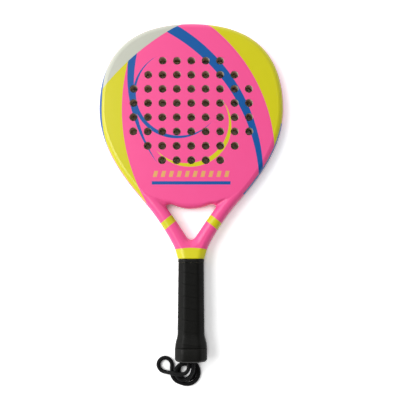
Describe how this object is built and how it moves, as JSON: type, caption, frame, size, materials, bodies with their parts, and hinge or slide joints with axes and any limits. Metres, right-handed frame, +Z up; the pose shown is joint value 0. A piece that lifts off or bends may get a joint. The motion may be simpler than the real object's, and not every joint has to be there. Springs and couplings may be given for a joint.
{
  "type": "beach tennis racket",
  "caption": "Flat beach tennis racket: egg-shaped drilled head on a tubular frame, open throat, wound grip, flared butt cap and a loose wrist cord.",
  "frame": {"origin": "centre of the racket's footprint, on the surface that it lies on, without the loose cord", "axes": "+Y from the butt cap towards the top of the head, +Z up out of the front face, +X to the right seen from the front"},
  "size_m": [0.26, 0.5105, 0.0396],
  "materials": {
    "frame_lacquer": "pink lacquer over a fibre laminate tube",
    "front_lacquer": "pink lacquer with printed colour bands over a fibre laminate",
    "back_lacquer": "yellow lacquer over a fibre laminate",
    "core_foam": "matt closed-cell foam",
    "handle_foam": "moulded rigid foam",
    "grip_tape": "soft matt cushion tape",
    "cap_rubber": "satin black rubber",
    "tack_steel": "plain steel",
    "cord_textile": "round braided cord"
  },
  "bodies": {
    "root": {"frame_tube": "frame_lacquer", "throat_bridge": "frame_lacquer", "face_core": "core_foam", "front_skin": "front_lacquer", "back_skin": "back_lacquer", "handle_shell_front": "handle_foam", "handle_shell_back": "handle_foam", "butt_cap": "cap_rubber", "cap_tack_front": "tack_steel", "cap_tack_back": "tack_steel", "base_grip": "grip_tape", "grip_collar": "cap_rubber", "cord_knot": "cord_textile", "wrist_cord": "cord_textile"}
  },
  "joints": []
}
